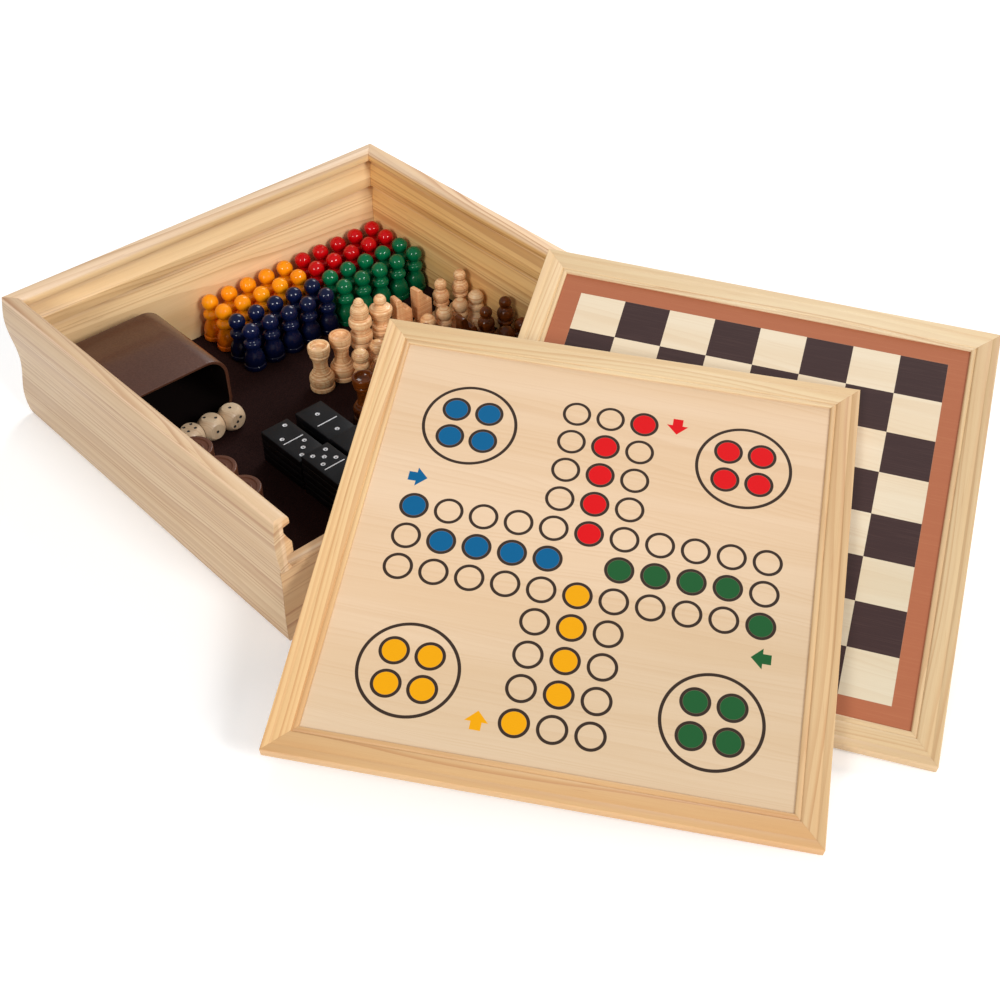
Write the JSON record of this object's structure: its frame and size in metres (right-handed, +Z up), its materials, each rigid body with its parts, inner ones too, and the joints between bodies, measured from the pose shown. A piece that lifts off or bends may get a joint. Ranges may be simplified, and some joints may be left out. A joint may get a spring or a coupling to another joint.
{
  "type": "games compendium box",
  "caption": "Grooved pine case with a low front, two framed ludo and chess boards leaning on it, and the loose turned men, pegs, dominoes, draughtsmen, dice and dice cup inside.",
  "frame": {"origin": "middle of the case's underside, on the surface it rests on", "axes": "+Z up, +Y to the closed back wall, -Y to the low front wall that the boards slide out over, +X to the right wall"},
  "size_m": [0.5187, 0.6374, 0.117],
  "materials": {
    "case_pine": "satin pine",
    "plywood": "birch plywood",
    "felt": "dark brown felt",
    "rail_pine": "satin lacquered pine",
    "ludo_print": "printed, lacquered basswood plywood",
    "chess_print": "printed, lacquered basswood plywood",
    "cup_leather": "smooth dark brown leatherette",
    "natural_wood": "turned beech, clear lacquer",
    "stained_wood": "turned beech, dark glossy stain",
    "domino_black": "black paint, satin",
    "yellow_lacquer": "glossy lacquer",
    "red_lacquer": "glossy lacquer",
    "blue_lacquer": "glossy lacquer",
    "green_lacquer": "glossy lacquer"
  },
  "bodies": {
    "case": {"left_wall": "case_pine", "right_wall": "case_pine", "back_wall": "case_pine", "front_wall": "case_pine", "bottom_panel": "plywood", "felt_liner": "felt"},
    "chess_board": {"chess_top_rail": "rail_pine", "chess_bottom_rail": "rail_pine", "chess_left_rail": "rail_pine", "chess_right_rail": "rail_pine", "chess_panel": "chess_print"},
    "ludo_board": {"ludo_top_rail": "rail_pine", "ludo_bottom_rail": "rail_pine", "ludo_left_rail": "rail_pine", "ludo_right_rail": "rail_pine", "ludo_panel": "ludo_print"},
    "dice_cup": {"dice_cup": "cup_leather"},
    "die_1": {"die_1": "natural_wood"},
    "die_2": {"die_2": "natural_wood"},
    "die_3": {"die_3": "natural_wood"},
    "domino_stack_1": {"domino_stack_1": "domino_black"},
    "domino_stack_2": {"domino_stack_2": "domino_black"},
    "domino_stack_3": {"domino_stack_3": "domino_black"},
    "domino_stack_4": {"domino_stack_4": "domino_black"},
    "domino_stack_5": {"domino_stack_5": "domino_black"},
    "domino_stack_6": {"domino_stack_6": "domino_black"},
    "dark_draughts": {"dark_draughts": "stained_wood"},
    "natural_draughts": {"natural_draughts": "natural_wood"},
    "yellow_pegs": {"yellow_pegs": "yellow_lacquer"},
    "red_pegs": {"red_pegs": "red_lacquer"},
    "blue_pegs": {"blue_pegs": "blue_lacquer"},
    "green_pegs": {"green_pegs": "green_lacquer"},
    "natural_rooks": {"natural_rooks": "natural_wood"},
    "natural_knights": {"natural_knights": "natural_wood"},
    "natural_bishops": {"natural_bishops": "natural_wood"},
    "natural_queen": {"natural_queen": "natural_wood"},
    "natural_king": {"natural_king": "natural_wood"},
    "natural_pawns": {"natural_pawns": "natural_wood"},
    "dark_rooks": {"dark_rooks": "stained_wood"},
    "dark_knights": {"dark_knights": "stained_wood"},
    "dark_bishops": {"dark_bishops": "stained_wood"},
    "dark_queen": {"dark_queen": "stained_wood"},
    "dark_king": {"dark_king": "stained_wood"},
    "dark_pawns": {"dark_pawns": "stained_wood"}
  },
  "joints": [
    {"name": "chess_board_lift", "type": "slide", "parent": "case", "child": "chess_board", "axis": [0, 0, 1], "range_m": [0, 0.12]},
    {"name": "ludo_board_lift", "type": "slide", "parent": "chess_board", "child": "ludo_board", "axis": [0, 0, 1], "range_m": [0, 0.12]},
    {"name": "dice_cup_lift", "type": "slide", "parent": "case", "child": "dice_cup", "axis": [0, 0, 1], "range_m": [0, 0.12]},
    {"name": "die_1_lift", "type": "slide", "parent": "case", "child": "die_1", "axis": [0, 0, 1], "range_m": [0, 0.12]},
    {"name": "die_2_lift", "type": "slide", "parent": "case", "child": "die_2", "axis": [0, 0, 1], "range_m": [0, 0.12]},
    {"name": "die_3_lift", "type": "slide", "parent": "case", "child": "die_3", "axis": [0, 0, 1], "range_m": [0, 0.12]},
    {"name": "domino_stack_1_lift", "type": "slide", "parent": "case", "child": "domino_stack_1", "axis": [0, 0, 1], "range_m": [0, 0.12]},
    {"name": "domino_stack_2_lift", "type": "slide", "parent": "case", "child": "domino_stack_2", "axis": [0, 0, 1], "range_m": [0, 0.045]},
    {"name": "domino_stack_3_lift", "type": "slide", "parent": "case", "child": "domino_stack_3", "axis": [0, 0, 1], "range_m": [0, 0.03]},
    {"name": "domino_stack_4_lift", "type": "slide", "parent": "case", "child": "domino_stack_4", "axis": [0, 0, 1], "range_m": [0, 0.12]},
    {"name": "domino_stack_5_lift", "type": "slide", "parent": "case", "child": "domino_stack_5", "axis": [0, 0, 1], "range_m": [0, 0.045]},
    {"name": "domino_stack_6_lift", "type": "slide", "parent": "case", "child": "domino_stack_6", "axis": [0, 0, 1], "range_m": [0, 0.035]},
    {"name": "dark_draughts_lift", "type": "slide", "parent": "case", "child": "dark_draughts", "axis": [0, 0, 1], "range_m": [0, 0.12]},
    {"name": "natural_draughts_lift", "type": "slide", "parent": "case", "child": "natural_draughts", "axis": [0, 0, 1], "range_m": [0, 0.058]},
    {"name": "yellow_pegs_lift", "type": "slide", "parent": "case", "child": "yellow_pegs", "axis": [0, 0, 1], "range_m": [0, 0.12]},
    {"name": "red_pegs_lift", "type": "slide", "parent": "case", "child": "red_pegs", "axis": [0, 0, 1], "range_m": [0, 0.12]},
    {"name": "blue_pegs_lift", "type": "slide", "parent": "case", "child": "blue_pegs", "axis": [0, 0, 1], "range_m": [0, 0.12]},
    {"name": "green_pegs_lift", "type": "slide", "parent": "case", "child": "green_pegs", "axis": [0, 0, 1], "range_m": [0, 0.12]},
    {"name": "natural_rooks_lift", "type": "slide", "parent": "case", "child": "natural_rooks", "axis": [0, 0, 1], "range_m": [0, 0.12]},
    {"name": "natural_knights_lift", "type": "slide", "parent": "case", "child": "natural_knights", "axis": [0, 0, 1], "range_m": [0, 0.12]},
    {"name": "natural_bishops_lift", "type": "slide", "parent": "case", "child": "natural_bishops", "axis": [0, 0, 1], "range_m": [0, 0.12]},
    {"name": "natural_queen_lift", "type": "slide", "parent": "case", "child": "natural_queen", "axis": [0, 0, 1], "range_m": [0, 0.12]},
    {"name": "natural_king_lift", "type": "slide", "parent": "case", "child": "natural_king", "axis": [0, 0, 1], "range_m": [0, 0.12]},
    {"name": "natural_pawns_lift", "type": "slide", "parent": "case", "child": "natural_pawns", "axis": [0, 0, 1], "range_m": [0, 0.12]},
    {"name": "dark_rooks_lift", "type": "slide", "parent": "case", "child": "dark_rooks", "axis": [0, 0, 1], "range_m": [0, 0.12]},
    {"name": "dark_knights_lift", "type": "slide", "parent": "case", "child": "dark_knights", "axis": [0, 0, 1], "range_m": [0, 0.12]},
    {"name": "dark_bishops_lift", "type": "slide", "parent": "case", "child": "dark_bishops", "axis": [0, 0, 1], "range_m": [0, 0.12]},
    {"name": "dark_queen_lift", "type": "slide", "parent": "case", "child": "dark_queen", "axis": [0, 0, 1], "range_m": [0, 0.12]},
    {"name": "dark_king_lift", "type": "slide", "parent": "case", "child": "dark_king", "axis": [0, 0, 1], "range_m": [0, 0.12]},
    {"name": "dark_pawns_lift", "type": "slide", "parent": "case", "child": "dark_pawns", "axis": [0, 0, 1], "range_m": [0, 0.12]}
  ]
}
